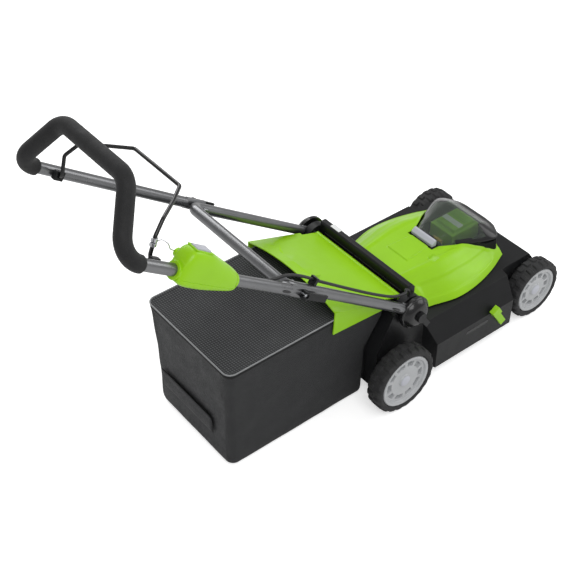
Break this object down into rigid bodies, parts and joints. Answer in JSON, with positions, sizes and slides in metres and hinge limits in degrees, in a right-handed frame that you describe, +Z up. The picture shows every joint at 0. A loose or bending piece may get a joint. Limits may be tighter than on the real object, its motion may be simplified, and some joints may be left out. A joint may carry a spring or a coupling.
{
  "type": "push lawn mower",
  "caption": "Cordless push lawn mower: cranked wheels, folding tube handle with foam grip, bail and switch box, battery lid, rear flap and pull-off grass bag.",
  "frame": {"origin": "on the ground under the middle of the whole machine, front to back and side to side", "axes": "+X forward (the way it is pushed), +Y to its left, +Z up"},
  "size_m": [1.2546, 0.5, 0.8964],
  "materials": {
    "green_plastic": "satin moulded yellow-green plastic",
    "black_plastic": "fine-textured black moulded plastic",
    "tyre": "black rubber with block tread",
    "rim_grey": "light grey moulded plastic",
    "pale_grey": "pale grey plastic",
    "handle_tube": "satin grey powder coat on tube",
    "steel": "bright zinc plated steel",
    "motor_can": "cast aluminium",
    "foam": "black closed-cell foam sleeve",
    "bag_fabric": "dark grey woven polyester with mesh top",
    "smoked": "smoked clear polycarbonate",
    "key_yellow": "yellow plastic",
    "cable_black": "black cable sheath"
  },
  "bodies": {
    "mower": {"deck": "black_plastic", "top_cover": "green_plastic", "battery_tray": "black_plastic", "battery_pack": "green_plastic", "safety_key": "key_yellow", "lid_hinge_pin": "steel", "motor": "motor_can", "motor_controller": "black_plastic", "transverse_bar": "black_plastic", "flap_hinge_rod": "steel", "pivot_cap_left": "black_plastic", "pivot_cap_right": "black_plastic", "pivot_bolt_left": "steel", "pivot_bolt_right": "steel"},
    "blade_rotor": {"motor_shaft": "steel", "fan_and_blade_carrier": "black_plastic", "blade": "steel", "blade_bolt": "steel"},
    "battery_lid_body": {"battery_lid": "smoked", "lid_finger_pull": "pale_grey"},
    "rear_flap_body": {"rear_flap": "green_plastic"},
    "front_axle_body": {"front_axle": "steel"},
    "rear_axle_body": {"rear_axle": "steel"},
    "link_rod_body": {"height_link_rod": "steel"},
    "height_lever_body": {"height_lever": "green_plastic"},
    "lower_handle_body": {"lower_handle": "handle_tube", "fold_bolt_left": "steel", "fold_bolt_right": "steel", "cable_clip": "black_plastic", "switch_cable_lower": "cable_black"},
    "upper_handle_body": {"upper_handle": "handle_tube", "foam_grip": "foam", "bail_bracket_left": "black_plastic", "bail_bracket_right": "black_plastic", "switch_box_top": "green_plastic", "switch_box_base": "green_plastic", "switch_cable_upper": "cable_black"},
    "bail_body": {"bail_lever": "black_plastic", "bail_collar_and_wire": "steel"},
    "safety_button_body": {"safety_button": "pale_grey"},
    "fold_lever_left_body": {"fold_lever_left": "black_plastic"},
    "fold_lever_right_body": {"fold_lever_right": "black_plastic"},
    "pivot_knob_left_body": {"pivot_knob_left": "black_plastic"},
    "pivot_knob_right_body": {"pivot_knob_right": "black_plastic"},
    "grass_bag_body": {"grass_bag": "bag_fabric", "bag_mouth_frame": "black_plastic", "bag_grab_handle": "black_plastic"},
    "rear_left_wheel": {"rear_left_tyre": "tyre", "rear_left_rim": "rim_grey", "rear_left_hub_cap": "pale_grey"},
    "front_left_wheel": {"front_left_tyre": "tyre", "front_left_rim": "rim_grey", "front_left_hub_cap": "pale_grey"},
    "rear_right_wheel": {"rear_right_tyre": "tyre", "rear_right_rim": "rim_grey", "rear_right_hub_cap": "pale_grey"},
    "front_right_wheel": {"front_right_tyre": "tyre", "front_right_rim": "rim_grey", "front_right_hub_cap": "pale_grey"}
  },
  "joints": [
    {"name": "blade_spin", "type": "hinge", "parent": "mower", "child": "blade_rotor", "pos_m": [0.29931, 0, 0.06], "axis": [0, 0, 1], "continuous": true},
    {"name": "lid_open", "type": "hinge", "parent": "mower", "child": "battery_lid_body", "pos_m": [0.51131, 0, 0.2215], "axis": [0, 1, 0], "range_deg": [0, 84]},
    {"name": "flap_lift", "type": "hinge", "parent": "mower", "child": "rear_flap_body", "pos_m": [0.10431, 0, 0.262], "axis": [0, 1, 0], "range_deg": [0, 70]},
    {"name": "height_adjust", "type": "hinge", "parent": "mower", "child": "front_axle_body", "pos_m": [0.58297, 0, 0.06852], "axis": [0, 1, 0], "range_deg": [-63.1, 23.7]},
    {"name": "rear_height", "type": "hinge", "parent": "mower", "child": "rear_axle_body", "pos_m": [0.08997, 0, 0.07652], "axis": [0, 1, 0], "range_deg": [-63.1, 23.7]},
    {"name": "link_rod_swing", "type": "hinge", "parent": "front_axle_body", "child": "link_rod_body", "pos_m": [0.58297, -0.116, 0.08252], "axis": [0, 1, 0], "range_deg": [-23.7, 63.1]},
    {"name": "height_lever_swing", "type": "hinge", "parent": "mower", "child": "height_lever_body", "pos_m": [0.40431, -0.222, 0.068], "axis": [0, 1, 0], "range_deg": [-14.22, 37.86]},
    {"name": "handle_tilt", "type": "hinge", "parent": "mower", "child": "lower_handle_body", "pos_m": [0.11331, 0, 0.24], "axis": [0, 1, 0], "range_deg": [0, 135], "deforming": ["switch_cable_lower"]},
    {"name": "handle_fold", "type": "hinge", "parent": "lower_handle_body", "child": "upper_handle_body", "pos_m": [-0.22243, 0, 0.48393], "axis": [0, 1, 0], "range_deg": [-148.5, 0], "deforming": ["switch_cable_upper"]},
    {"name": "bail_pull", "type": "hinge", "parent": "upper_handle_body", "child": "bail_body", "pos_m": [-0.55251, 0, 0.72375], "axis": [0, -1, 0], "range_deg": [0, 52], "stiffness_Nm_per_rad": 0.6, "springref_deg": -28.65},
    {"name": "safety_button_press", "type": "slide", "parent": "upper_handle_body", "child": "safety_button_body", "axis": [-0.5878, 0, -0.809], "range_m": [0, 0.004], "stiffness_N_per_m": 300, "springref_m": -0.003},
    {"name": "fold_lever_left_open", "type": "hinge", "parent": "lower_handle_body", "child": "fold_lever_left_body", "pos_m": [-0.22243, 0.2008, 0.48393], "axis": [0.5878, 0, 0.809], "range_deg": [0, 100]},
    {"name": "fold_lever_right_open", "type": "hinge", "parent": "lower_handle_body", "child": "fold_lever_right_body", "pos_m": [-0.22243, -0.2008, 0.48393], "axis": [-0.5878, 0, -0.809], "range_deg": [0, 100]},
    {"name": "pivot_knob_left_turn", "type": "hinge", "parent": "mower", "child": "pivot_knob_left_body", "pos_m": [0.11331, 0.218, 0.24], "axis": [0, 1, 0], "range_deg": [0, 180]},
    {"name": "pivot_knob_right_turn", "type": "hinge", "parent": "mower", "child": "pivot_knob_right_body", "pos_m": [0.11331, -0.218, 0.24], "axis": [0, 1, 0], "range_deg": [0, 180]},
    {"name": "bag_pull_off", "type": "slide", "parent": "mower", "child": "grass_bag_body", "axis": [-1, 0, 0], "range_m": [0, 0.45]},
    {"name": "rear_left_wheel_spin", "type": "hinge", "parent": "rear_axle_body", "child": "rear_left_wheel", "pos_m": [0.05231, 0.227, 0.09], "axis": [0, 1, 0], "continuous": true},
    {"name": "front_left_wheel_spin", "type": "hinge", "parent": "front_axle_body", "child": "front_left_wheel", "pos_m": [0.54531, 0.189, 0.082], "axis": [0, 1, 0], "continuous": true},
    {"name": "rear_right_wheel_spin", "type": "hinge", "parent": "rear_axle_body", "child": "rear_right_wheel", "pos_m": [0.05231, -0.227, 0.09], "axis": [0, 1, 0], "continuous": true},
    {"name": "front_right_wheel_spin", "type": "hinge", "parent": "front_axle_body", "child": "front_right_wheel", "pos_m": [0.54531, -0.189, 0.082], "axis": [0, 1, 0], "continuous": true}
  ],
  "couplings": [
    {"joint": "rear_height", "follows": "height_adjust", "ratio": 1},
    {"joint": "link_rod_swing", "follows": "height_adjust", "ratio": -1},
    {"joint": "height_lever_swing", "follows": "height_adjust", "ratio": -0.6},
    {"joint": "handle_fold", "follows": "handle_tilt", "ratio": -1.1}
  ]
}
